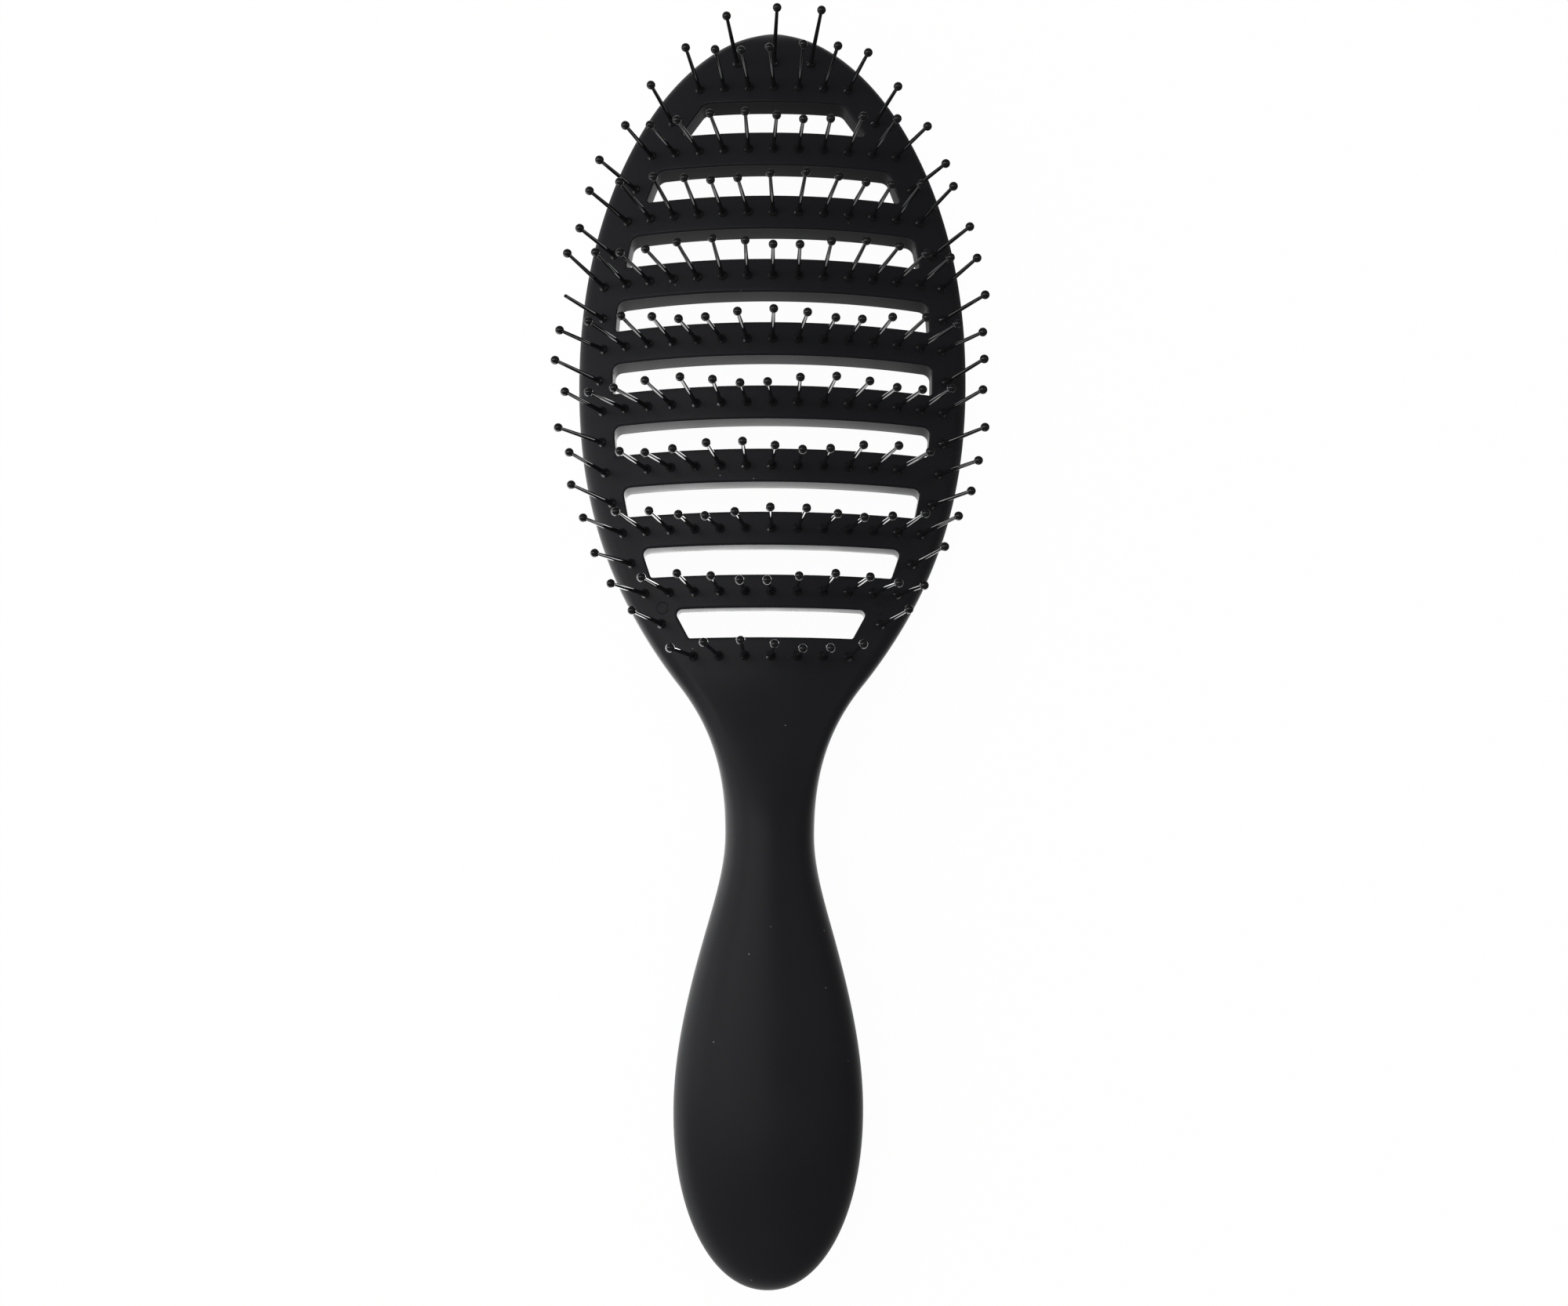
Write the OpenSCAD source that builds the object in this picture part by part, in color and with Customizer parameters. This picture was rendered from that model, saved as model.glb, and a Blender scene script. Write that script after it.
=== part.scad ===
// Vent brush: a moulded body with a curved, vented head, and ball-tipped pins seated in it.
// The brush lies on its back, with its pins up. X is across it and +Y runs toward the head's tip.
// The origin is on the surface that it lies on, under the middle of its length.

/* [Handle] */
// Length of the handle, from its end to the narrowest place of the neck
handle_len = 77.4; // [72:0.5:100]
// Width of the handle at its widest place
handle_w = 32.8; // [28:0.1:40]
// Thickness of the handle at its widest place
handle_t = 18.5; // [15:0.1:22]
// Distance from the handle's end to its widest place
belly_at = 30.5; // [26:0.5:36]
// Fullness of the handle's end, where 2 is an ellipse
end_fullness = 2.1; // [1.9:0.01:2.6]
// Distance back from the neck to the waist of the handle
waist_run = 16; // [12:0.5:20]
// Width of the handle at its waist
waist_w = 21.8; // [19:0.1:26]
// Width that the waist loses for each millimetre toward the neck
waist_taper = 0.57; // [0.4:0.01:0.7]
// Width of the neck at its narrowest place
neck_w = 15.6; // [13:0.1:19]
// Thickness of the neck
neck_t = 12; // [10:0.1:14]
// Height of the neck's middle over the surface that the brush lies on
neck_z = 11.5; // [9:0.1:13]

/* [Head] */
// Length of the head, from the neck to the tip
head_len = 151.8; // [140:0.2:165]
// Width of the head at its widest place
head_w = 71.4; // [68:0.1:78]
// Distance from the neck to the head's widest place
widest_run = 86.6; // [80:0.2:92]
// Distance from the neck to the shoulder
shoulder_run = 27; // [24:0.5:30]
// Distance from the neck to where it starts to flatten into the head
neck_run = 4; // [2:0.5:8]
// Distance that the head is flat before its first row of pins
plate_lead = 2; // [1.5:0.1:4]
// Width of the head at the shoulder
shoulder_w = 32.7; // [30:0.1:37]
// Width that the shoulder gains for each millimetre toward the tip
shoulder_flare = 1.54; // [1.3:0.01:1.7]
// Fullness of the head's outline toward the tip, where 2 is an ellipse
tip_fullness = 2.15; // [1.9:0.01:2.4]
// How pointed the tip is, where 0.5 is an ellipse
tip_point = 0.584; // [0.48:0.002:0.62]
// Thickness of the head
head_t = 5.5; // [4.8:0.1:6.5]
// Radius of the pin face across the head
face_r = 72; // [64:0.5:90]
// Radius of the head's slight bow from neck to tip
bow_r = 1460; // [1000:20:3000]
// Length over which the tip curls down
curl_run = 16; // [12:0.5:20]
// Radius of the curl at the tip
curl_r = 60; // [45:1:90]
// Width of the soft rounding along the head's edge
edge_run = 4; // [3:0.1:5]

/* [Vents] */
// Distance from the neck to the near side of the first vent
first_vent = 35.2; // [33:0.1:36]
// Distance from the far side of the last vent to the tip
tip_land = 15.75; // [15:0.05:17]
// What each vent is higher than the one before it
vent_gain = 0.09; // [0:0.01:0.12]
// Width of the first rib
rib_w = 6.05; // [5.6:0.05:6.4]
// What each rib is wider than the one before it
rib_gain = 0.07; // [0:0.01:0.1]
// Width of the rim at the ends of the vents
rim_w = 5.85; // [5.6:0.05:7]
// What the rim would gain at the very tip
tip_rim_gain = 3; // [2:0.1:5]
// How closely the ends of the first vent follow the head's outline, where 1 is parallel
end_follow = 0.8; // [0.5:0.01:1]
// What the ends of the last vent add to that, as they splay more
end_follow_gain = 0.42; // [0:0.01:0.6]
// Radius of a vent's corners on the neck's side
low_corner = 0.5; // [0.4:0.05:1]
// Radius of the first vent's corners on the tip's side
high_corner = 0.95; // [0.6:0.05:1.2]
// What this radius gains from each vent to the next
high_corner_gain = 0.1; // [0:0.01:0.12]

/* [Pins] */
// Length of a pin over the face, its ball included
pin_len = 15; // [12:0.1:17]
// Diameter of the ball
ball_d = 1.6; // [1.3:0.05:1.9]
// Diameter of the shaft where it leaves its collar
shaft_d = 0.84; // [0.7:0.02:0.9]
// Diameter of the shaft under the ball
shaft_tip_d = 0.62; // [0.5:0.02:0.7]
// Diameter of the collar where it sits on the face
collar_d = 1.75; // [1.7:0.05:2]
// Height of the collar
collar_h = 1.15; // [0.8:0.05:1.4]
// Diameter of the plug that holds the pin
plug_d = 1.4; // [1.2:0.05:1.5]
// Depth of the plug in the head
plug_len = 3.4; // [2.8:0.1:3.8]
// Depth of the bore past the end of the plug
plug_end_gap = 0.1; // [0.05:0.05:0.3]
// Height of the upright lip of the collar
collar_lip = 0.12; // [0.05:0.01:0.2]
// Clearance under the collar, so that a leaning pin stays clear of the face
seat_gap = 0.07; // [0.05:0.01:0.12]
// Clearance round the plug, on each side
plug_gap = 0.02; // [0.01:0.01:0.05]
// Spacing of the pins along a row
pin_pitch = 4.62; // [4.4:0.02:4.8]
// Least distance from a row's outermost pin to the head's edge
edge_margin = 3.45; // [3:0.05:4]
// Spacing of the three pins at the tip
tip_pitch = 6.85; // [6:0.05:7.5]
// Distance of the first row of pins from the first vent
first_row_gap = 3.4; // [2.8:0.1:3.8]
// Distance of the last row from the last vent
last_row_gap = 3.1; // [2.6:0.1:3.4]
// Distance from the last row to the three pins at the tip
tip_row_run = 5; // [4:0.1:5.4]
// Where the rim's pins stand between a vent's end and the head's edge, from 0 to 1
rim_share = 0.41; // [0.35:0.01:0.55]
// How much further out the outermost pins of the wide row stand
wide_step = 3.7; // [3:0.1:3.8]
// Largest stray lean of a pin, in degrees
pin_lean = 3; // [0:0.1:3.5]
// Lean toward the tip of the rows and pins that are bent forward, in degrees
forward_lean = 4.3; // [0:0.1:5]

/* [Hidden] */

$fn = 32;
vent_count = 9;
wide_row = 3;
forward_rows = [6, 7];
ball_lost_at = 5;

body_len = handle_len + head_len;
neck_at = handle_len;
waist_at = neck_at - waist_run;
shoulder_at = neck_at + shoulder_run;
widest_at = neck_at + widest_run;

// The round handle turns into the thin plate of the head between these two stations.
plate_from = neck_at + neck_run;
plate_at = neck_at + first_vent - first_row_gap - plate_lead;

// The middle surface of the plate is bent about this radius.
mid_r = face_r - head_t / 2;

eps = 0.01;

function smooth(t) = let (c = min(max(t, 0), 1)) c * c * (3 - 2 * c);
function arch(t, fullness, point) = pow(max(1 - pow(t, fullness), 0), point);

// A cubic through two knots, each a place, a value there and its slope there.
function cubic(s, a, b) =
    let (
        run = b[0] - a[0],
        t = (s - a[0]) / run,
        u = 1 - t
    )
    a[1] * u * u * (1 + 2 * t) + b[1] * t * t * (3 - 2 * t)
    + run * t * u * (a[2] * u - b[2] * t);

// Half the body's width at s, a distance from the handle's end.
belly_knot = [belly_at, handle_w / 2, 0];
waist_knot = [waist_at, waist_w / 2, -waist_taper / 2];
neck_knot = [neck_at, neck_w / 2, 0];
shoulder_knot = [shoulder_at, shoulder_w / 2, shoulder_flare / 2];
widest_knot = [widest_at, head_w / 2, 0];
function half_width(s) =
    s < belly_at ? handle_w / 2 * arch((belly_at - s) / belly_at, end_fullness, 1 / end_fullness)
    : s < waist_at ? cubic(s, belly_knot, waist_knot)
    : s < neck_at ? cubic(s, waist_knot, neck_knot)
    : s < shoulder_at ? cubic(s, neck_knot, shoulder_knot)
    : s < widest_at ? cubic(s, shoulder_knot, widest_knot)
    : head_w / 2 * arch((s - widest_at) / (body_len - widest_at), tip_fullness, tip_point);

// Half the body's thickness.
edge_from = body_len - edge_run;
function half_thick(s) =
    s < belly_at ? handle_t / 2 * arch((belly_at - s) / belly_at, 2, 0.5)
    : s < neck_at ? cubic(s, [belly_at, handle_t / 2, 0], [neck_at, neck_t / 2, -0.06])
    : s < plate_at ? cubic(s, [neck_at, neck_t / 2, -0.06], [plate_at, head_t / 2, 0])
    : s < edge_from ? head_t / 2
    : head_t / 2 * sqrt(max(1 - pow((s - edge_from) / edge_run, 2), 0));

// Curvature of the body across its width: none in the handle, and the plate's in the head.
function bend(s) = smooth((s - plate_from) / (plate_at - plate_from)) / mid_r + 1e-6;

// How far the head's middle line falls away from its highest place, and its slope.
curl_from = body_len - curl_run;
function fall(s) =
    pow(s - widest_at, 2) / (2 * bow_r) + pow(max(s - curl_from, 0), 2) / (2 * curl_r);
function fall_slope(s) = (s - widest_at) / bow_r + max(s - curl_from, 0) / curl_r;

// One cross-section as x and z about the middle line: an ellipse in the handle, and in the
// head a flat strip with rounded edges, bent to the plate's radius.
flat_steps = 12;
round_steps = 5;
ring = 2 * flat_steps + 4 * round_steps;
function strip_point(i, a, b) =
    let (
        half = ring / 2,
        j = i % half,
        side = i < half ? 1 : -1,
        flat_a = a - edge_run,
        turn = 90 / round_steps
    )
    j < round_steps ? [side * (flat_a + edge_run * cos(j * turn)), side * b * sin(j * turn)]
    : j < round_steps + flat_steps
        ? [side * flat_a * (1 - 2 * (j - round_steps) / flat_steps), side * b]
    : [-side * (flat_a + edge_run * sin((j - round_steps - flat_steps) * turn)),
        side * b * cos((j - round_steps - flat_steps) * turn)];
function section(s) =
    let (
        k = bend(s),
        w = smooth((s - plate_from) / (plate_at - plate_from)),
        b = half_thick(s),
        arc = asin(min(half_width(s) * k, 1)) / k * PI / 180,
        a = max(arc, edge_run * 1.02)
    )
    [for (i = [0:ring - 1])
        let (
            turn = 360 * i / ring,
            oval = [arc * cos(turn), b * sin(turn)],
            strip = strip_point(i, a, b) * (arc / a),
            u = (1 - w) * oval[0] + w * strip[0],
            v = (1 - w) * oval[1] + w * (s > plate_at ? strip_point(i, a, b)[1] : strip[1]),
            angle = u * k * 180 / PI
        )
        [(1 / k + v) * sin(angle), (1 / k + v) * cos(angle) - 1 / k]];

// The head's middle line is as high as its rim needs to rest on the surface.
head_z = -min([for (p = section(widest_at)) p[1]]);
function middle_z(s) =
    s < belly_at ? handle_t / 2
    : s < neck_at ? cubic(s, [belly_at, handle_t / 2, 0], [neck_at, neck_z, 0.04])
    : s < plate_at
        ? cubic(s, [neck_at, neck_z, 0.04], [plate_at, head_z - fall(plate_at), -fall_slope(plate_at)])
    : head_z - fall(s);

// Stations of the skin, closer together where the outline turns faster.
cap = 0.1;
function spread(from, to, steps) = [for (i = [1:steps]) from + (to - from) * i / steps];
stations = concat(
    [for (i = [0:11]) cap + (belly_at - cap) * (1 - cos(90 * i / 12))],
    spread(belly_at - 1, neck_at, 14),
    spread(neck_at, plate_at + 1, 16),
    spread(plate_at + 1, curl_from - 8, 14),
    [for (i = [1:12]) curl_from - 8 + (curl_run + 8 - cap) * sin(90 * i / 12)]
);
last = len(stations) - 1;

module skin() {
    points = [for (s = stations) for (p = section(s)) [p[0], s - body_len / 2, p[1] + middle_z(s)]];
    side_faces = [for (j = [0:last - 1]) for (i = [0:ring - 1])
        let (n = (i + 1) % ring, a = j * ring, b = a + ring)
        each [[a + i, a + n, b + n], [a + i, b + n, b + i]]];
    end_faces = [for (i = [0:ring / 2 - 1])
        let (n = i + 1, m = ring - i - 1, d = (ring - i) % ring, e = last * ring)
        each [[i, m, n], [i, d, m], [e + i, e + n, e + m], [e + i, e + m, e + d]]];
    polyhedron(points = points, faces = concat(side_faces, [for (f = end_faces) if (is_face(f)) f]));
}
function is_face(f) = f[0] != f[1] && f[1] != f[2] && f[2] != f[0];

// Vents, counted from the neck. Their height is what the ribs between them leave.
gaps = vent_count - 1;
vent_h = (head_len - first_vent - tip_land - gaps * (rib_w + vent_gain)
    - (vent_gain + rib_gain) * gaps * (gaps - 1) / 2) / vent_count;
function vent_low(k) =
    neck_at + first_vent + k * (vent_h + rib_w) + (vent_gain + rib_gain) * k * (k - 1) / 2;
function vent_high(k) = vent_low(k) + vent_h + vent_gain * k;
function vent_middle(k) = (vent_low(k) + vent_high(k)) / 2;
function outline_slope(s) = half_width(s + 0.5) - half_width(s - 0.5);
function vent_half(k) =
    let (
        s = vent_middle(k),
        rim = rim_w + tip_rim_gain * pow((s - neck_at) / head_len, 3)
    )
    half_width(s) - rim * sqrt(1 + pow(outline_slope(s), 2));

// How far the ends of a vent stand out at its high side, and in at its low side.
function splay(k) =
    (end_follow + end_follow_gain * pow(k / gaps, 4)) * outline_slope(vent_middle(k))
    * (vent_high(k) - vent_low(k)) / 2;

// A rounded corner as points of an arc, between the unit directions in and out.
corner_steps = 5;
function corner(at, from, to, r) =
    let (
        turn = acos(from * to),
        c = at + r * (to - from) / sin(turn)
    )
    [for (i = [0:corner_steps])
        let (angle = turn * i / corner_steps)
        c + r * (from * (cos(turn) * cos(angle) + sin(turn) * sin(angle)) - to * cos(angle)) / sin(turn)];

module vent(k) {
    low = [vent_half(k) - splay(k), vent_low(k)];
    high = [vent_half(k) + splay(k), vent_high(k)];
    end = (high - low) / norm(high - low);
    half = concat(
        corner(low, [1, 0], end, low_corner),
        corner(high, end, [-1, 0], high_corner + high_corner_gain * k)
    );
    mirrored = [for (i = [len(half) - 1:-1:0]) [-half[i][0], half[i][1]]];
    translate([0, -body_len / 2, -eps])
        linear_extrude(face_r) polygon(concat(half, mirrored));
}

// A number from -1 to 1 that looks random but is the same every time.
function scatter(place, n) = sin((place[0] * 627 + place[1] * 1396) / pin_len + n * 111);

// Puts its children at a pin's place, with the pin face at their z of 0. A place is a station, an
// arc length from the middle and a lean toward the tip, to which a stray lean is added.
module at_place(place) {
    s = place[0];
    translate([0, s - body_len / 2, middle_z(s) + head_t / 2])
        rotate([-atan(fall_slope(s)), 0, 0])
            translate([0, 0, -face_r]) rotate([0, place[1] / face_r * 180 / PI, 0]) translate([0, 0, face_r])
                rotate([pin_lean * scatter(place, 1) - place[2], pin_lean * scatter(place, 2), 0]) children();
}

// Places of the pins.
function arc_half(s) = face_r * asin(half_width(s) / face_r) * PI / 180;
function row_at(r) =
    r == 0 ? vent_low(0) - first_row_gap
    : r == vent_count ? vent_high(vent_count - 1) + last_row_gap
    : (vent_high(r - 1) + vent_low(r)) / 2;
function row_places(r) =
    let (
        s = row_at(r),
        side = floor((arc_half(s) - edge_margin) / pin_pitch),
        lean = len(search(r, forward_rows)) > 0 ? forward_lean : 0
    )
    [for (i = [-side:side])
        [s, i * pin_pitch + (r == wide_row && abs(i) == side ? sign(i) * wide_step : 0), lean]];
function tip_places() =
    [for (i = [-1:1]) [row_at(vent_count) + tip_row_run, i * tip_pitch, forward_lean * (2 - abs(i))]];
function rim_places(side) =
    [for (k = [0:vent_count - 1])
        let (
            s = vent_middle(k),
            x = vent_half(k) + rim_share * (half_width(s) - vent_half(k))
        )
        [s, side * face_r * asin(x / face_r) * PI / 180, 0]];
all_places = concat(
    [for (r = [0:vent_count]) each row_places(r)],
    tip_places(), rim_places(-1), rim_places(1)
);

module bore() {
    depth = plug_len + plug_end_gap;
    translate([0, 0, -depth]) cylinder(h = depth + head_t / 2, d = plug_d + 2 * plug_gap);
}

// Plug, collar and shaft are one turned profile, and the ball sits on the end of the shaft.
ball_z = pin_len - ball_d / 2;
module pin(seat, with_ball) {
    rotate_extrude() polygon([
        [0, -plug_len], [plug_d / 2, -plug_len], [plug_d / 2, seat], [collar_d / 2, seat],
        [collar_d / 2, seat + collar_lip], [(collar_d + 2 * shaft_d) / 6, collar_h / 2],
        [shaft_d / 2, collar_h], [shaft_tip_d / 2, ball_z], [0, ball_z]
    ]);
    if (with_ball) translate([0, 0, ball_z]) sphere(d = ball_d);
}

// A pin that leans forward is seated higher, so that its collar stays clear of the face.
module pins(places, lost = -1) {
    color("#1b1b1c") for (i = [0:len(places) - 1])
        at_place(places[i]) pin(seat_gap + collar_d / 2 * sin(places[i][2]), i != lost);
}

module body() {
    color("#232325") difference() {
        skin();
        for (k = [0:vent_count - 1]) vent(k);
        for (place = all_places) at_place(place) bore();
    }
}

body();
pins(row_places(0));  // pins_row_1
pins(row_places(1));  // pins_row_2
pins(row_places(2));  // pins_row_3
pins(row_places(3));  // pins_row_4
pins(row_places(4));  // pins_row_5
pins(row_places(5));  // pins_row_6
pins(row_places(6));  // pins_row_7
pins(row_places(7));  // pins_row_8
pins(row_places(8));  // pins_row_9
pins(row_places(9));  // pins_row_10
pins(tip_places());  // pins_tip
pins(rim_places(-1), ball_lost_at);  // pins_rim_left
pins(rim_places(1));  // pins_rim_right
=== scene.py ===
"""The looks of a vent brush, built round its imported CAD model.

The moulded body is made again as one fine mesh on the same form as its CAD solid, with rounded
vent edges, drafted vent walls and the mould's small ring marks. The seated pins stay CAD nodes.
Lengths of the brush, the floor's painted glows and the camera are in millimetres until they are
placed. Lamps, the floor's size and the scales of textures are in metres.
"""

import math

import bmesh
import bpy
import numpy as np
from mathutils import Matrix, Vector
from mathutils.geometry import delaunay_2d_cdt


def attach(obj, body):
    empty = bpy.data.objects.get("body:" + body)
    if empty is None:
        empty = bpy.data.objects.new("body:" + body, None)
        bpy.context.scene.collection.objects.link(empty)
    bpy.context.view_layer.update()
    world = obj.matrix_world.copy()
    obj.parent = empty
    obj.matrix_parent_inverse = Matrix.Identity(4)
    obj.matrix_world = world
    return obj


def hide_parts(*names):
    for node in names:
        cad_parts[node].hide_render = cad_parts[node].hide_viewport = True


MM = 0.001

# Handle, as in the part's source
HANDLE_LEN = 77.4
HANDLE_W = 32.8
HANDLE_T = 18.5
BELLY_AT = 30.5
END_FULLNESS = 2.1
WAIST_RUN = 16
WAIST_W = 21.8
WAIST_TAPER = 0.57
NECK_W = 15.6
NECK_T = 12
NECK_Z = 11.5
NECK_THINNING = -0.06
NECK_RISE = 0.04

# Head, as in the part's source
HEAD_LEN = 151.8
HEAD_W = 71.4
WIDEST_RUN = 86.6
SHOULDER_RUN = 27
SHOULDER_W = 32.7
SHOULDER_FLARE = 1.54
NECK_RUN = 4
PLATE_LEAD = 2
TIP_FULLNESS = 2.15
TIP_POINT = 0.584
HEAD_T = 5.5
FACE_R = 72
BOW_R = 1460
CURL_RUN = 16
CURL_R = 60
EDGE_RUN = 4
FIRST_ROW_GAP = 3.4

# Vents, as in the part's source
VENT_COUNT = 9
FIRST_VENT = 35.2
TIP_LAND = 15.75
VENT_GAIN = 0.09
RIB_W = 6.05
RIB_GAIN = 0.07
RIM_W = 5.85
TIP_RIM_GAIN = 3
END_FOLLOW = 0.8
END_FOLLOW_GAIN = 0.42
LOW_CORNER = 0.5
HIGH_CORNER = 0.95
HIGH_CORNER_GAIN = 0.1

# Vent edges and walls, which are finer here than in the CAD solid
FRONT_EDGE_R = 0.45
BACK_EDGE_R = 0.2
WALL_DRAFT = 0.1

# The back of the first vent is wider than its front by this at each side, and each next one by less
BACK_OPENING = 0.3
OPENING_LOSS = 0.1
LEAST_OPENING = -0.1

# The first vent's ends lie nearer the middle than the CAD solid's, and each next one's by less
NECK_VENT_INSET = 0.8
NECK_VENT_SPLAY = 0.2
NECK_VENT_FADE = 0.25

# How finely the vents' outlines are cut, and how far the skin's own quads keep away from them
EDGE_STEPS = 4
CORNER_STEPS = 7
LOOP_STEP = 0.85
FILL_MARGIN = 0.42

# Ring marks of the mould. Offsets are in widths of the groove, and shares are of its depth
MARK_X = 19.4
MARK_FROM_NECK = 40.8
MARK_R = 1.05
MARK_GROOVE_W = 0.2
MARK_DEPTH = 0.055
MARK_STEPS = 36
MARK_OFFSETS = (0.75, 0.5, 0.25, 0, -0.25, -0.5, -0.75)
MARK_SHARES = (0, 0, 0.7, 1, 0.7, 0, 0)

# Derived stations along the body, measured from the handle's end
BODY_LEN = HANDLE_LEN + HEAD_LEN
NECK_AT = HANDLE_LEN
WAIST_AT = NECK_AT - WAIST_RUN
SHOULDER_AT = NECK_AT + SHOULDER_RUN
WIDEST_AT = NECK_AT + WIDEST_RUN
PLATE_FROM = NECK_AT + NECK_RUN
PLATE_AT = NECK_AT + FIRST_VENT - FIRST_ROW_GAP - PLATE_LEAD
CURL_FROM = BODY_LEN - CURL_RUN
EDGE_FROM = BODY_LEN - EDGE_RUN
MID_R = FACE_R - HEAD_T / 2
GAPS = VENT_COUNT - 1
VENT_H = (HEAD_LEN - FIRST_VENT - TIP_LAND - GAPS * (RIB_W + VENT_GAIN)
          - (VENT_GAIN + RIB_GAIN) * GAPS * (GAPS - 1) / 2) / VENT_COUNT

# The cross-section's ring, in the source's steps, and how finely each step is cut here
FLAT_STEPS = 12
ROUND_STEPS = 5
RING = 2 * FLAT_STEPS + 4 * ROUND_STEPS
FLAT_CUTS = 5
ROUND_CUTS = 3

# Least half width of the head's flat strip, over the run of its rounded edge
STRIP_SLACK = 1.02

# Stations of the skin: how many in each stretch, where the tip's begin, and what both ends leave off
END_STATIONS = 31
GRIP_STATIONS = 40
NECK_STATIONS = 32
PLATE_STATIONS = 110
TIP_STATIONS = 41
TIP_LEAD = 8
END_GAP = 0.01


def smooth(t):
    """From 0 to 1 with no slope at either end."""
    c = np.clip(t, 0, 1)
    return c * c * (3 - 2 * c)


def arch(t, fullness, point):
    """From 1 down to 0, as a full or a pointed end falls off."""
    return np.maximum(1 - np.clip(t, 0, 1) ** fullness, 0) ** point


def cubic(s, a, b):
    """A cubic through two knots, each a place, a value there and its slope there."""
    run = b[0] - a[0]
    t = (s - a[0]) / run
    u = 1 - t
    values = a[1] * u * u * (1 + 2 * t) + b[1] * t * t * (3 - 2 * t)
    return values + run * t * u * (a[2] * u - b[2] * t)


def half_width(s):
    belly = (BELLY_AT, HANDLE_W / 2, 0)
    waist = (WAIST_AT, WAIST_W / 2, -WAIST_TAPER / 2)
    neck = (NECK_AT, NECK_W / 2, 0)
    shoulder = (SHOULDER_AT, SHOULDER_W / 2, SHOULDER_FLARE / 2)
    widest = (WIDEST_AT, HEAD_W / 2, 0)
    end = HANDLE_W / 2 * arch((BELLY_AT - s) / BELLY_AT, END_FULLNESS, 1 / END_FULLNESS)
    tip = HEAD_W / 2 * arch((s - WIDEST_AT) / (BODY_LEN - WIDEST_AT), TIP_FULLNESS, TIP_POINT)
    return np.select(
        [s < BELLY_AT, s < WAIST_AT, s < NECK_AT, s < SHOULDER_AT, s < WIDEST_AT],
        [end, cubic(s, belly, waist), cubic(s, waist, neck), cubic(s, neck, shoulder),
         cubic(s, shoulder, widest)],
        tip,
    )


def half_thick(s):
    belly = (BELLY_AT, HANDLE_T / 2, 0)
    neck = (NECK_AT, NECK_T / 2, NECK_THINNING)
    plate = (PLATE_AT, HEAD_T / 2, 0)
    end = HANDLE_T / 2 * arch((BELLY_AT - s) / BELLY_AT, 2, 0.5)
    edge = np.clip((s - EDGE_FROM) / EDGE_RUN, 0, 1)
    return np.select(
        [s < BELLY_AT, s < NECK_AT, s < PLATE_AT],
        [end, cubic(s, belly, neck), cubic(s, neck, plate)],
        HEAD_T / 2 * np.sqrt(1 - edge ** 2),
    )


def bend(s):
    """How much the section is curved across: one over its radius."""
    return smooth((s - PLATE_FROM) / (PLATE_AT - PLATE_FROM)) / MID_R + 1e-6


def fall(s):
    """How far the head's middle line falls from its highest place."""
    return (s - WIDEST_AT) ** 2 / (2 * BOW_R) + np.maximum(s - CURL_FROM, 0) ** 2 / (2 * CURL_R)


def fall_slope(s):
    return (s - WIDEST_AT) / BOW_R + np.maximum(s - CURL_FROM, 0) / CURL_R


def strip_point(i, a, b):
    """The head's section before it is bent: a flat strip with a rounded edge at each side."""
    j = i % (RING / 2)
    side = np.where(i < RING / 2, 1, -1)
    flat_a = a - EDGE_RUN
    turn = math.radians(90 / ROUND_STEPS)
    near = np.minimum(j, ROUND_STEPS) * turn
    far = (j - ROUND_STEPS - FLAT_STEPS) * turn
    across = 1 - 2 * (j - ROUND_STEPS) / FLAT_STEPS
    where = [j < ROUND_STEPS, j < ROUND_STEPS + FLAT_STEPS]
    near_u = flat_a + EDGE_RUN * np.cos(near)
    far_u = -flat_a - EDGE_RUN * np.sin(far)
    u = np.select(where, [near_u, flat_a * across], far_u)
    v = np.select(where, [b * np.sin(near), b + 0 * j], b * np.cos(far))
    return side * u, side * v


def section(s, i):
    """Cross-sections at the stations s, at the ring places i, as x and z about the middle line."""
    k = bend(s)
    w = smooth((s - PLATE_FROM) / (PLATE_AT - PLATE_FROM))
    b = half_thick(s)
    arc = np.arcsin(np.minimum(half_width(s) * k, 1)) / k
    a = np.maximum(arc, EDGE_RUN * STRIP_SLACK)
    turn = 2 * math.pi * i / RING
    strip_u, strip_v = strip_point(i, a, b)
    shrink = arc / a
    u = (1 - w) * arc * np.cos(turn) + w * strip_u * shrink
    v = (1 - w) * b * np.sin(turn) + w * strip_v * np.where(s > PLATE_AT, 1, shrink)
    return (1 / k + v) * np.sin(u * k), (1 / k + v) * np.cos(u * k) - 1 / k


def ring_places():
    """Places round the section, closer together on its rounded edges."""
    places = []
    for i in range(RING):
        on_flat = ROUND_STEPS <= i % (RING // 2) < ROUND_STEPS + FLAT_STEPS
        cuts = FLAT_CUTS if on_flat else ROUND_CUTS
        places += [i + c / cuts for c in range(cuts)]
    return np.array(places)


HEAD_Z = -float(section(np.array([[WIDEST_AT]]), ring_places()[None])[1].min())


def middle_z(s):
    belly = (BELLY_AT, HANDLE_T / 2, 0)
    neck = (NECK_AT, NECK_Z, NECK_RISE)
    plate = (PLATE_AT, HEAD_Z - fall(PLATE_AT), -fall_slope(PLATE_AT))
    return np.select(
        [s < BELLY_AT, s < NECK_AT, s < PLATE_AT],
        [HANDLE_T / 2 + 0 * s, cubic(s, belly, neck), cubic(s, neck, plate)],
        HEAD_Z - fall(s),
    )


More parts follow.
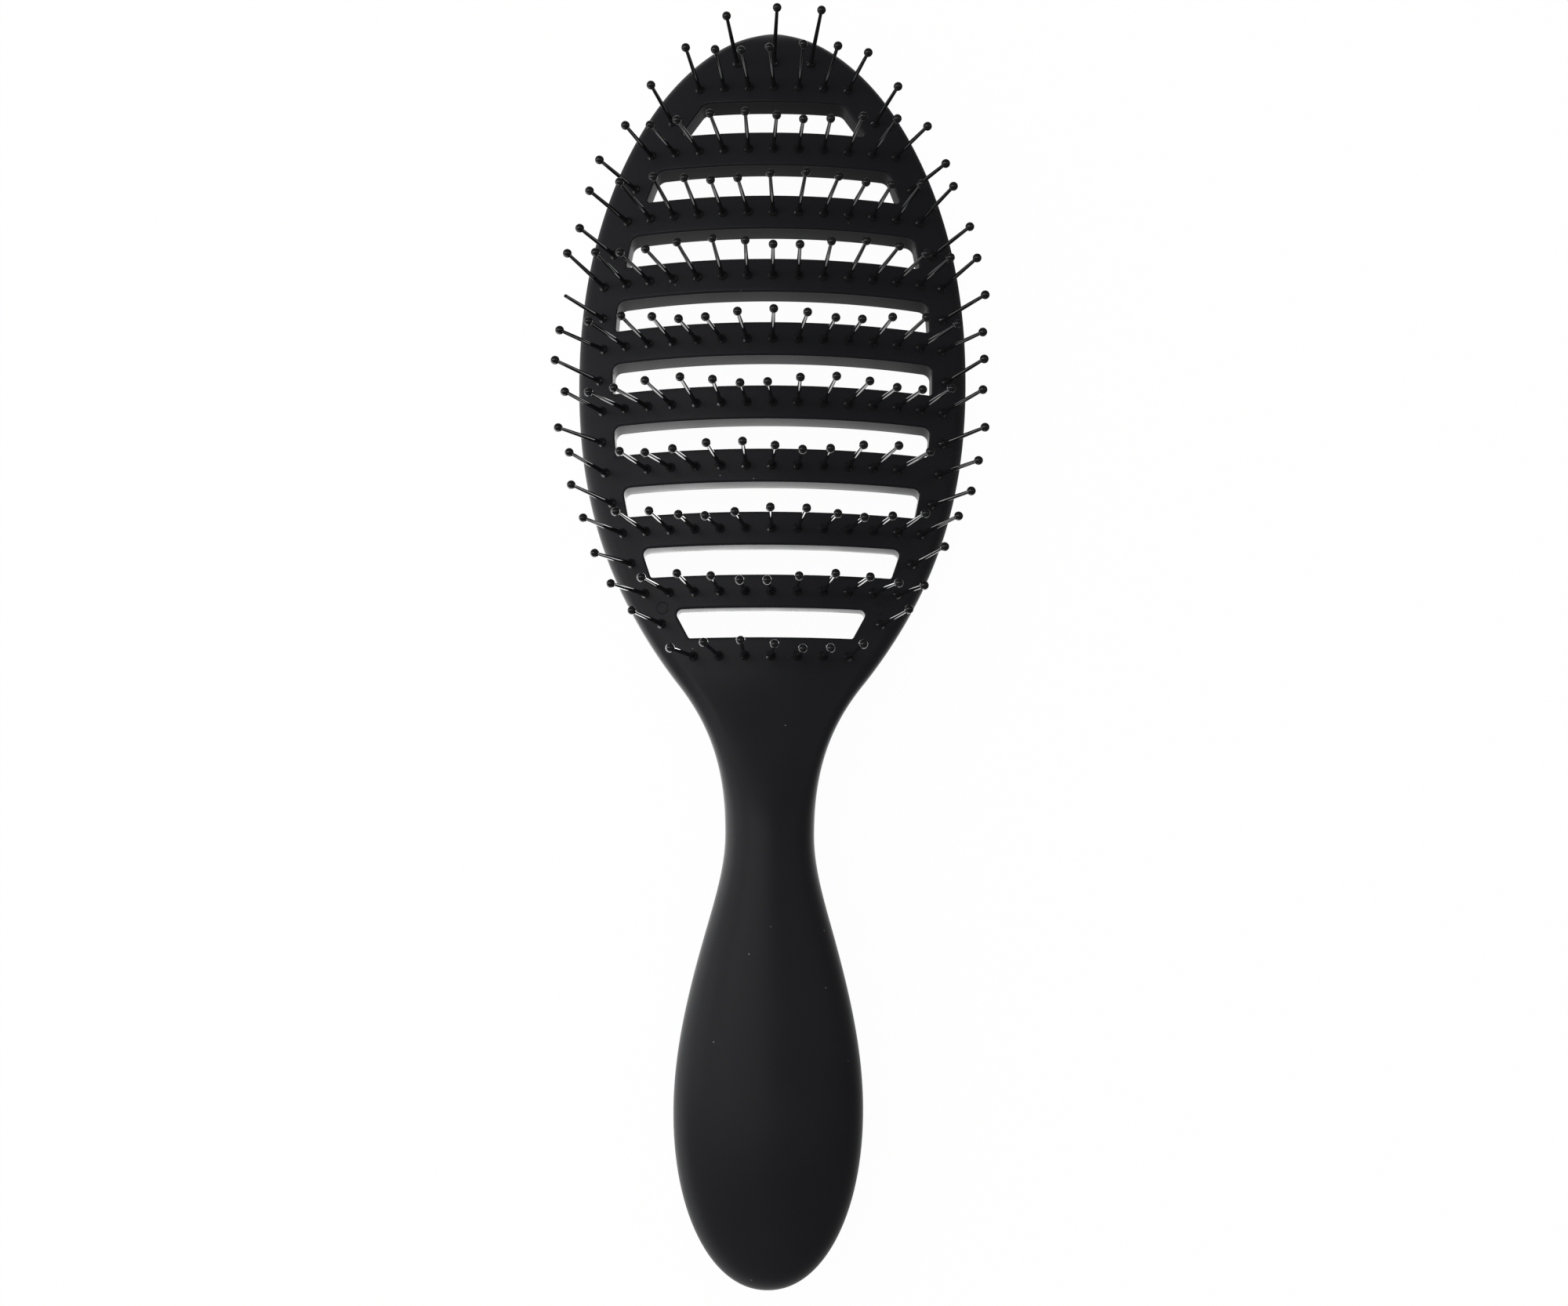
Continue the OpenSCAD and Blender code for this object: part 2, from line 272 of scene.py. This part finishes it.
def stations():
    """Stations of the fine skin, closer together at both ends."""
    end_turn = np.linspace(0, math.pi / 2, END_STATIONS)
    tip_turn = np.linspace(0, math.pi / 2, TIP_STATIONS)
    end = END_GAP + (BELLY_AT - END_GAP) * (1 - np.cos(end_turn))
    grip = np.linspace(BELLY_AT, NECK_AT, GRIP_STATIONS)[1:]
    neck = np.linspace(NECK_AT, PLATE_AT, NECK_STATIONS)[1:]
    plate_end = CURL_FROM - TIP_LEAD
    plate = np.linspace(PLATE_AT, plate_end, PLATE_STATIONS)[1:]
    tip = plate_end + (BODY_LEN - END_GAP - plate_end) * np.sin(tip_turn)[1:]
    return np.concatenate([end, grip, neck, plate, tip])


def face_z(x, s, side):
    """Height of the head's front face (side 1) or back face (side -1), away from its edge."""
    k = bend(s)
    r = 1 / k + side * half_thick(s)
    return np.sqrt(r * r - x * x) - 1 / k + middle_z(s)


def vent_low(k):
    return NECK_AT + FIRST_VENT + k * (VENT_H + RIB_W) + (VENT_GAIN + RIB_GAIN) * k * (k - 1) / 2


def vent_high(k):
    return vent_low(k) + VENT_H + VENT_GAIN * k


def arc_points(centre, radius, start, turn, steps):
    """Points on an arc, with angles in degrees, and their directions away from its centre."""
    angles = np.radians(start + turn * np.linspace(0, 1, steps + 1))
    out = np.stack([np.cos(angles), np.sin(angles)], 1)
    return np.array(centre) + radius * out, out


def side_points(a, b):
    """Points between two ends of a straight side, without the ends, and their outward direction."""
    a = np.array(a)
    b = np.array(b)
    count = max(int(np.linalg.norm(b - a) / LOOP_STEP), 1)
    t = np.linspace(0, 1, count + 1)[1:-1, None]
    along = (b - a) / np.linalg.norm(b - a)
    out = np.array([along[1], -along[0]])
    return a + t * (b - a), np.repeat(out[None], len(t), 0)


def vent_loop(k):
    """A vent's outline in plan, anticlockwise, and the direction out of it into the body."""
    low = vent_low(k)
    high = vent_high(k)
    s = (low + high) / 2
    slope = float(half_width(np.array(s + 0.5)) - half_width(np.array(s - 0.5)))
    rim = RIM_W + TIP_RIM_GAIN * ((s - NECK_AT) / HEAD_LEN) ** 3
    near_neck = NECK_VENT_FADE ** k
    half = float(half_width(np.array(s))) - rim * math.sqrt(1 + slope ** 2)
    half -= NECK_VENT_INSET * near_neck
    splay = (END_FOLLOW + END_FOLLOW_GAIN * (k / GAPS) ** 4) * slope * (high - low) / 2
    splay += NECK_VENT_SPLAY * near_neck
    low_x = half - splay
    high_x = half + splay
    corners = np.array([[low_x, low], [high_x, high], [-high_x, high], [-low_x, low]])
    high_r = HIGH_CORNER + HIGH_CORNER_GAIN * k
    points = []
    outward = []
    for n, radius in enumerate((LOW_CORNER, high_r, high_r, LOW_CORNER)):
        here = corners[n]
        before = corners[n - 1] - here
        after = corners[(n + 1) % 4] - here
        before /= np.linalg.norm(before)
        after /= np.linalg.norm(after)
        inside = math.acos(float(before @ after))
        reach = radius / math.tan(inside / 2)
        middle = (before + after) / np.linalg.norm(before + after)
        centre = here + middle * radius / math.sin(inside / 2)
        x, y = here + before * reach - centre
        start = math.degrees(math.atan2(y, x))
        arc, out = arc_points(centre, radius, start, 180 - math.degrees(inside), CORNER_STEPS)
        points.append(arc)
        outward.append(out)
    loop = []
    way = []
    for n in range(4):
        loop.append(points[n])
        way.append(outward[n])
        side, out = side_points(points[n][-1], points[(n + 1) % 4][0])
        loop.append(side)
        way.append(out)
    return np.concatenate(loop), np.concatenate(way)


class Build:
    """Gathers vertices and faces of one mesh, in millimetres."""

    def __init__(self):
        self.points = []
        self.count = 0
        self.faces = []
        self.wall_faces = set()

    def add(self, points):
        start = self.count
        self.points.append(np.asarray(points, float))
        self.count += len(points)
        return np.arange(start, self.count)

    def band(self, a, b, wall=False):
        """Quads between two closed loops of as many points."""
        for n in range(len(a)):
            m = (n + 1) % len(a)
            if wall:
                self.wall_faces.add(len(self.faces))
            self.faces.append((int(a[n]), int(a[m]), int(b[m]), int(b[n])))

    def coordinates(self):
        return np.concatenate(self.points)


def inside(edges, points):
    """Which of the points lie inside the plan outlines that the edges make together."""
    x, y = points[:, 0][:, None], points[:, 1][:, None]
    x0, y0, x1, y1 = edges[:, 0, 0], edges[:, 0, 1], edges[:, 1, 0], edges[:, 1, 1]
    crosses = (y0 > y) != (y1 > y)
    with np.errstate(divide="ignore", invalid="ignore"):
        at = x0 + (y - y0) / (y1 - y0) * (x1 - x0)
    return (crosses & (x < at)).sum(1) % 2 == 1


def loop_edges(loop):
    return np.stack([loop, np.roll(loop, -1, 0)], 1)


def on_face(plan, side):
    """Plan points, x and station, lifted onto the head's front or back face."""
    return np.stack([plan[:, 0], plan[:, 1] - BODY_LEN / 2, face_z(plan[:, 0], plan[:, 1], side)], 1)


def vent_rings(build, loop, way, back_opening):
    """Rounded edges and drafted walls of one vent. Returns its outer loops, front and back."""
    rings = []
    front = face_z(loop[:, 0], loop[:, 1], 1) - FRONT_EDGE_R
    back = face_z(loop[:, 0], loop[:, 1], -1) + BACK_EDGE_R
    middle = (front + back) / 2

    def ring(offset, z):
        plan = loop + way * offset
        rings.append(np.stack([plan[:, 0], plan[:, 1] - BODY_LEN / 2, z], 1))

    def edge(radius, side, turns, opening):
        for turn in turns:
            offset = opening + radius * (1 - math.sin(turn))
            depth = radius * (1 - math.cos(turn))
            plan = loop + way * offset
            ring(offset, face_z(plan[:, 0], plan[:, 1], side) - side * depth)

    turns = np.linspace(0, math.pi / 2, EDGE_STEPS + 1)
    edge(FRONT_EDGE_R, 1, turns, 0)
    ring(-WALL_DRAFT, middle)
    edge(BACK_EDGE_R, -1, turns[::-1], back_opening)
    numbers = [build.add(r) for r in rings]
    for n, (a, b) in enumerate(zip(numbers, numbers[1:])):
        build.band(b, a, n >= EDGE_STEPS)
    return numbers[0], numbers[-1]


def mark_rings(build, centre):
    """The groove of a ring mark on the front face. Returns its outer loop, for the fill."""
    _, way = arc_points((0, 0), 1, 0, 360 * (1 - 1 / MARK_STEPS), MARK_STEPS - 1)
    numbers = []
    for offset, share in zip(MARK_OFFSETS, MARK_SHARES):
        points = on_face(np.array(centre) + (MARK_R + MARK_GROOVE_W * offset) * way, 1)
        points[:, 2] -= MARK_DEPTH * share
        numbers.append(build.add(points))
    for a, b in zip(numbers, numbers[1:]):
        build.band(b, a)
    middle = build.add(on_face(np.array([centre], float), 1))[0]
    inner = numbers[-1]
    for n in range(MARK_STEPS):
        build.faces.append((int(middle), int(inner[n]), int(inner[(n + 1) % MARK_STEPS])))
    return numbers[0]


def fill(build, quads, loops, side):
    """Triangles on the front or back face, in place of the quads taken out round the loops."""
    sides = {(q[n], q[(n + 1) % 4]) for q in quads for n in range(4)}
    edges = [(a, b) for a, b in sorted(sides) if (b, a) not in sides]
    for loop in loops:
        edges += [(int(a), int(b)) for a, b in zip(loop, np.roll(loop, -1))]
    numbers = sorted({v for edge in edges for v in edge})
    local = {v: n for n, v in enumerate(numbers)}
    points = build.coordinates()[:, :2]
    made, _, faces, origin, _, _ = delaunay_2d_cdt(
        [Vector(points[v]) for v in numbers], [(local[a], local[b]) for a, b in edges], [], 0, 1e-7)
    faces = np.array([list(face) for face in faces])
    middles = np.array([tuple(p) for p in made])[faces].mean(1)
    source = [numbers[o[0]] for o in origin]
    for face in faces[inside(points[np.array(edges)], middles)]:
        corners = tuple(source[v] for v in face)
        build.faces.append(corners if side > 0 else corners[::-1])


def body_mesh():
    """The moulded body: a grid of quads over its whole skin, opened round each vent and mark."""
    build = Build()
    s = stations()
    i = ring_places()
    x, z = section(s[:, None], i[None])
    z = z + middle_z(s)[:, None]
    y = np.repeat((s - BODY_LEN / 2)[:, None], len(i), 1)
    build.add(np.stack([x, y, z], 2).reshape(-1, 3))

    cuts = []
    for k in range(VENT_COUNT):
        loop, way = vent_loop(k)
        opening = max(BACK_OPENING - OPENING_LOSS * k, LEAST_OPENING)
        front, back = vent_rings(build, loop, way, opening)
        cuts.append((loop + way * (FRONT_EDGE_R + FILL_MARGIN), front, 1))
        cuts.append((loop + way * (opening + BACK_EDGE_R + FILL_MARGIN), back, -1))
    for x_side in (-1, 1):
        centre = (x_side * MARK_X, NECK_AT + MARK_FROM_NECK)
        outer = mark_rings(build, centre)
        plan = build.coordinates()[outer][:, :2] + (0, BODY_LEN / 2)
        cuts.append((plan + (plan - centre) * FILL_MARGIN, outer, 1))

    columns = len(i)

    def quad(row, column):
        low = row * columns
        high = low + columns
        after = (column + 1) % columns
        return int(low + column), int(low + after), int(high + after), int(high + column)

    kept = np.ones((len(s) - 1, columns), bool)
    on_front = (i >= ROUND_STEPS) & (i <= ROUND_STEPS + FLAT_STEPS)
    on_back = (i >= RING / 2 + ROUND_STEPS) & (i <= RING / 2 + ROUND_STEPS + FLAT_STEPS)
    for side, on_side in ((1, on_front), (-1, on_back)):
        opened = np.zeros(x.shape, bool)
        for reach, _, cut_side in cuts:
            near = (s > reach[:, 1].min()) & (s < reach[:, 1].max())
            if cut_side == side:
                here = np.ix_(near, on_side)
                plan = np.stack([x[here].ravel(), y[here].ravel() + BODY_LEN / 2], 1)
                opened[here] |= inside(loop_edges(reach), plan).reshape(x[here].shape)
        taken = opened[:-1] | opened[1:]
        taken |= np.roll(taken, -1, 1)
        quads = [quad(row, column) for row, column in np.argwhere(taken)]
        fill(build, quads, [loop for _, loop, cut_side in cuts if cut_side == side], side)
        kept &= ~taken
    build.faces += [quad(row, column) for row, column in np.argwhere(kept)]

    first = tuple(range(columns))
    build.faces.append(first[::-1])
    build.faces.append(tuple((len(s) - 1) * columns + c for c in first))
    return build


def mesh_object(name, build, material, wall_material):
    mesh = bpy.data.meshes.new(name)
    mesh.from_pydata((build.coordinates() * MM).tolist(), [], build.faces)
    mesh.materials.append(material)
    mesh.materials.append(wall_material)
    for n in build.wall_faces:
        mesh.polygons[n].material_index = 1
    solid = bmesh.new()
    solid.from_mesh(mesh)
    bmesh.ops.recalc_face_normals(solid, faces=solid.faces)
    solid.to_mesh(mesh)
    solid.free()
    mesh.shade_smooth()
    piece = bpy.data.objects.new(name, mesh)
    bpy.context.scene.collection.objects.link(piece)
    return piece


def set_sockets(shader, **values):
    for name, value in values.items():
        shader.inputs[name.replace("_", " ")].default_value = value


def new_material(name):
    material = bpy.data.materials.new(name)
    material.use_nodes = True
    nodes = material.node_tree.nodes
    shader = nodes["Principled BSDF"]
    place = nodes.new("ShaderNodeTexCoord")
    return material, nodes, material.node_tree.links, shader, place.outputs["Object"]


def noise(nodes, links, place, scale, detail):
    node = nodes.new("ShaderNodeTexNoise")
    node.inputs["Scale"].default_value = scale
    node.inputs["Detail"].default_value = detail
    links.new(place, node.inputs["Vector"])
    return node.outputs["Fac"]


def spread(nodes, links, value, low, high, start=0.3, end=0.7):
    """A value between start and end, mapped onto the range from low to high."""
    node = nodes.new("ShaderNodeMapRange")
    node.inputs["From Min"].default_value = start
    node.inputs["From Max"].default_value = end
    node.inputs["To Min"].default_value = low
    node.inputs["To Max"].default_value = high
    links.new(value, node.inputs["Value"])
    return node.outputs["Result"]


def blend_colours(nodes, links, factor, low, high):
    node = nodes.new("ShaderNodeMix")
    node.data_type = "RGBA"
    for socket, colour in ((node.inputs[6], low), (node.inputs[7], high)):
        if isinstance(colour, tuple):
            socket.default_value = (*colour, 1)
        else:
            links.new(colour, socket)
    links.new(factor, node.inputs[0])
    return node.outputs[2]


def bump(nodes, links, height, distance, strength):
    node = nodes.new("ShaderNodeBump")
    node.inputs["Distance"].default_value = distance
    node.inputs["Strength"].default_value = strength
    links.new(height, node.inputs["Height"])
    return node.outputs["Normal"]


def soft_touch_material():
    """Matte black soft-touch lacquer: a fine grain, faint cloudiness and a few specks of dust."""
    material, nodes, links, shader, place = new_material("soft_touch_lacquer")
    set_sockets(shader, IOR=1.45, Specular_IOR_Level=0.15, Sheen_Weight=0.04, Sheen_Roughness=0.4)
    cloud = noise(nodes, links, place, 55, 3)
    grain = noise(nodes, links, place, 5200, 2)
    base = blend_colours(nodes, links, cloud, (0.0096, 0.0096, 0.0114), (0.0132, 0.0132, 0.0154))

    cells = nodes.new("ShaderNodeTexVoronoi")
    cells.inputs["Scale"].default_value = 210
    links.new(place, cells.inputs["Vector"])
    speck = nodes.new("ShaderNodeMath")
    speck.operation = "LESS_THAN"
    speck.inputs[1].default_value = 0.024
    links.new(cells.outputs["Distance"], speck.inputs[0])
    colour = blend_colours(nodes, links, speck.outputs[0], base, (0.16, 0.155, 0.15))
    links.new(colour, shader.inputs["Base Color"])
    links.new(spread(nodes, links, cloud, 0.34, 0.4), shader.inputs["Roughness"])
    links.new(bump(nodes, links, grain, 0.00002, 0.35), shader.inputs["Normal"])
    return material


def bare_wall_material():
    """The vents' walls, where the lacquer is thin: smoother, darker and faintly cloudy."""
    material, nodes, links, shader, place = new_material("bare_vent_walls")
    set_sockets(shader, IOR=1.5, Specular_IOR_Level=0.02)
    cloud = noise(nodes, links, place, 140, 3)
    colour = blend_colours(nodes, links, cloud, (0.0065, 0.0065, 0.007), (0.0095, 0.0095, 0.0102))
    links.new(colour, shader.inputs["Base Color"])
    links.new(spread(nodes, links, cloud, 0.24, 0.32), shader.inputs["Roughness"])
    return material


def nylon_material():
    """Glossy black nylon of the pins, with the slight waviness of small mouldings."""
    material, nodes, links, shader, place = new_material("gloss_black_nylon")
    set_sockets(shader, IOR=1.53)
    wave = noise(nodes, links, place, 700, 2)
    cloud = noise(nodes, links, place, 90, 2)
    colour = blend_colours(nodes, links, cloud, (0.006, 0.006, 0.0065), (0.011, 0.011, 0.012))
    links.new(colour, shader.inputs["Base Color"])
    links.new(spread(nodes, links, cloud, 0.03, 0.06), shader.inputs["Roughness"])
    links.new(bump(nodes, links, wave, 0.00006, 0.1), shader.inputs["Normal"])
    return material


# The floor's painted glow, which reflections see in place of its white and which stands in for
# light:
# a peak, and its shares along and across the brush. The first glow lies all round the brush,
# brighter on its left, and paints the bright reflections on the body's edges and the pins. The
# second lies under the head, seen through the vents, and paints the bright reflections on the vent
# walls.
PAINTED_REFLECTION_GLOWS = (
    (
        6.0,
        ((-110, 0.22), (-75, 0.29), (-45, 0.36), (-22, 0.6), (4, 0.64), (12, 0.5), (23, 0.43),
         (34, 0.28), (46, 0.19), (58, 0.14), (70, 0.1), (94, 0.06)),
        ((-80, 1.0), (-30, 0.85), (0, 0.76), (22, 0.48), (36, 0.18), (60, 0.05), (100, 0.03)),
    ),
    (
        2.4,
        ((-8, 0.0), (4, 1.0), (23, 1.0), (34, 0.8), (46, 0.6), (58, 0.48), (70, 0.38),
         (94, 0.22)),
        ((-33, 0.0), (-27, 0.85), (0, 0.76), (22, 0.5), (30, 0.2), (36, 0.0)),
    ),
)

# How much of the white that the camera sees is the floor's own, the rest being lit and shaded
FLOOR_WHITE = 0.97
FLOOR_HALF = 1.5


def painted_glow_share(nodes, links, place, shares):
    """The shares of the floor's painted glow along one axis, blended from one place to the next."""
    start = shares[0][0]
    end = shares[-1][0]
    ramp = nodes.new("ShaderNodeValToRGB")
    stops = ramp.color_ramp.elements
    while len(stops) < len(shares):
        stops.new(0.5)
    for stop, (at, share) in zip(stops, shares):
        stop.position = (at - start) / (end - start)
        stop.color = (share, share, share, 1)
    links.new(spread(nodes, links, place, 0, 1, start * MM, end * MM), ramp.inputs[0])
    return ramp.outputs["Color"]


def calculate(nodes, links, operation, a, b):
    """A sum or product of two values, each a number or another node's output."""
    node = nodes.new("ShaderNodeMath")
    node.operation = operation
    for socket, value in zip(node.inputs, (a, b)):
        if isinstance(value, (int, float)):
            socket.default_value = value
        else:
            links.new(value, socket)
    return node.outputs[0]


def floor_material():
    """White to the camera, with the soft shadow of what stands on it kept; in reflections, a painted
    glow that stands in for light on the brush.
    """
    material, nodes, links, shader, place = new_material("white_floor_painted_glow")
    set_sockets(shader, Base_Color=(0.9, 0.9, 0.9, 1), Roughness=0.9, Specular_IOR_Level=0.1)
    glow = nodes.new("ShaderNodeEmission")
    path = nodes.new("ShaderNodeLightPath")
    axes = nodes.new("ShaderNodeSeparateXYZ")
    links.new(place, axes.inputs[0])
    # Strength of the painted glow that reflections see, summed over the glows
    painted_glow_strength = 0.0
    for peak, shares_along, shares_across in PAINTED_REFLECTION_GLOWS:
        along = painted_glow_share(nodes, links, axes.outputs["Y"], shares_along)
        across = painted_glow_share(nodes, links, axes.outputs["X"], shares_across)
        there = calculate(nodes, links, "MULTIPLY", along, across)
        there = calculate(nodes, links, "MULTIPLY", there, peak)
        painted_glow_strength = calculate(nodes, links, "ADD", there, painted_glow_strength)
    # Reflections see the painted glow, and the camera sees white at strength 1
    strength = nodes.new("ShaderNodeMix")
    strength.inputs[2].default_value = 1.0
    links.new(path.outputs["Is Glossy Ray"], strength.inputs[0])
    links.new(painted_glow_strength, strength.inputs[3])
    links.new(strength.outputs[0], glow.inputs["Strength"])
    share = nodes.new("ShaderNodeMath")
    share.operation = "MULTIPLY_ADD"
    share.inputs[1].default_value = FLOOR_WHITE
    links.new(path.outputs["Is Camera Ray"], share.inputs[0])
    links.new(path.outputs["Is Glossy Ray"], share.inputs[2])
    mix = nodes.new("ShaderNodeMixShader")
    links.new(share.outputs[0], mix.inputs["Fac"])
    links.new(shader.outputs[0], mix.inputs[1])
    links.new(glow.outputs[0], mix.inputs[2])
    links.new(mix.outputs[0], nodes["Material Output"].inputs["Surface"])
    return material


def background(nodes, strength):
    node = nodes.new("ShaderNodeBackground")
    node.inputs["Color"].default_value = (1, 1, 1, 1)
    node.inputs["Strength"].default_value = strength
    return node


def set_world():
    """A soft surround, brighter on the left and dark in reflections, and white to the camera."""
    world = bpy.data.worlds.new("studio")
    world.use_nodes = True
    nodes = world.node_tree.nodes
    links = world.node_tree.links
    around = nodes["Background"]
    around.inputs["Color"].default_value = (1, 1, 1, 1)
    place = nodes.new("ShaderNodeTexCoord")
    axes = nodes.new("ShaderNodeSeparateXYZ")
    links.new(place.outputs["Generated"], axes.inputs[0])
    left_to_right = spread(nodes, links, axes.outputs["X"], 1.4, 0.25, -0.6, 0.6)
    links.new(left_to_right, around.inputs["Strength"])
    dark = background(nodes, 0.05)
    behind = background(nodes, 1.0)
    path = nodes.new("ShaderNodeLightPath")
    glossy = nodes.new("ShaderNodeMixShader")
    links.new(path.outputs["Is Glossy Ray"], glossy.inputs["Fac"])
    links.new(around.outputs[0], glossy.inputs[1])
    links.new(dark.outputs[0], glossy.inputs[2])
    mix = nodes.new("ShaderNodeMixShader")
    links.new(path.outputs["Is Camera Ray"], mix.inputs["Fac"])
    links.new(glossy.outputs[0], mix.inputs[1])
    links.new(behind.outputs[0], mix.inputs[2])
    links.new(mix.outputs[0], nodes["World Output"].inputs["Surface"])
    bpy.context.scene.world = world


# Softboxes: place, length along the brush, width across it, and power in watts
SOFTBOXES = {
    "softbox_low_left": ((-0.94, 0.1, 0.13), 0.24, 0.8, 1.0),
    "softbox_left": ((-0.76, 0.1, 0.57), 0.4, 0.8, 1.1),
    "softbox_high": ((-0.33, 0.08, 0.89), 0.3, 0.7, 1.3),
    "softbox_right": ((0.67, 0.1, 0.67), 0.3, 0.8, 0.35),
}
LIT_PLACE = (0, 0, 0.01)


def add_softbox(name, place, length, width, power):
    lamp = bpy.data.lights.new(name, "AREA")
    lamp.shape = "RECTANGLE"
    lamp.size = length
    lamp.size_y = width
    lamp.energy = power
    piece = bpy.data.objects.new(name, lamp)
    piece.location = place
    aim = Vector(LIT_PLACE) - Vector(place)
    piece.rotation_euler = aim.to_track_quat("-Z", "Y").to_euler()
    bpy.context.scene.collection.objects.link(piece)


def add_camera():
    """Looks down on the brush, a little from the handle's side, as the photograph does."""
    target = Vector((2.374, -4.08, 8.0)) * MM
    distance = 400 * MM
    tilt = math.radians(10)
    roll = math.radians(0.249)
    back = Vector((0, -math.sin(tilt), math.cos(tilt)))
    right = Vector((1, 0, 0))
    up = back.cross(right)
    rolled_right = math.cos(roll) * right + math.sin(roll) * up
    rolled_up = math.cos(roll) * up - math.sin(roll) * right
    lens = bpy.data.cameras.new("camera")
    lens.sensor_width = 36
    lens.lens = 51.14
    lens.clip_start = 0.01
    camera = bpy.data.objects.new("camera", lens)
    camera.matrix_world = Matrix.Translation(target + back * distance) @ Matrix(
        (rolled_right, rolled_up, back)).transposed().to_4x4()
    bpy.context.scene.collection.objects.link(camera)
    bpy.context.scene.camera = camera


def add_floor():
    """A wide flat floor at the height on which the brush lies."""
    half = FLOOR_HALF
    corners = [(-half, -half, 0), (half, -half, 0), (half, half, 0), (-half, half, 0)]
    mesh = bpy.data.meshes.new("floor")
    mesh.from_pydata(corners, [], [(0, 1, 2, 3)])
    mesh.materials.append(floor_material())
    floor = bpy.data.objects.new("floor", mesh)
    bpy.context.scene.collection.objects.link(floor)


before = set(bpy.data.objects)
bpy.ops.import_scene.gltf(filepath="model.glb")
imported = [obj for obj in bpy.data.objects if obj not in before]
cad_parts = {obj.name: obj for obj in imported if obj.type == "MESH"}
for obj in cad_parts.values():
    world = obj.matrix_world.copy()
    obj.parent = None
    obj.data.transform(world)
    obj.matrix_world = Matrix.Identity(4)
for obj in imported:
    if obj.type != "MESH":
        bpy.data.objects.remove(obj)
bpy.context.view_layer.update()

add_camera()
add_floor()
set_world()
for softbox, settings in SOFTBOXES.items():
    add_softbox(softbox, *settings)

lacquer = soft_touch_material()
nylon = nylon_material()

body = mesh_object("moulded_body", body_mesh(), lacquer, bare_wall_material())
body.modifiers.new("even_shading", "WEIGHTED_NORMAL")
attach(body, "root")
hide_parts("body")

for name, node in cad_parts.items():
    if name.startswith("pins_"):
        node.data.materials.clear()
        node.data.materials.append(nylon)

bpy.context.scene.view_settings.view_transform = "Standard"
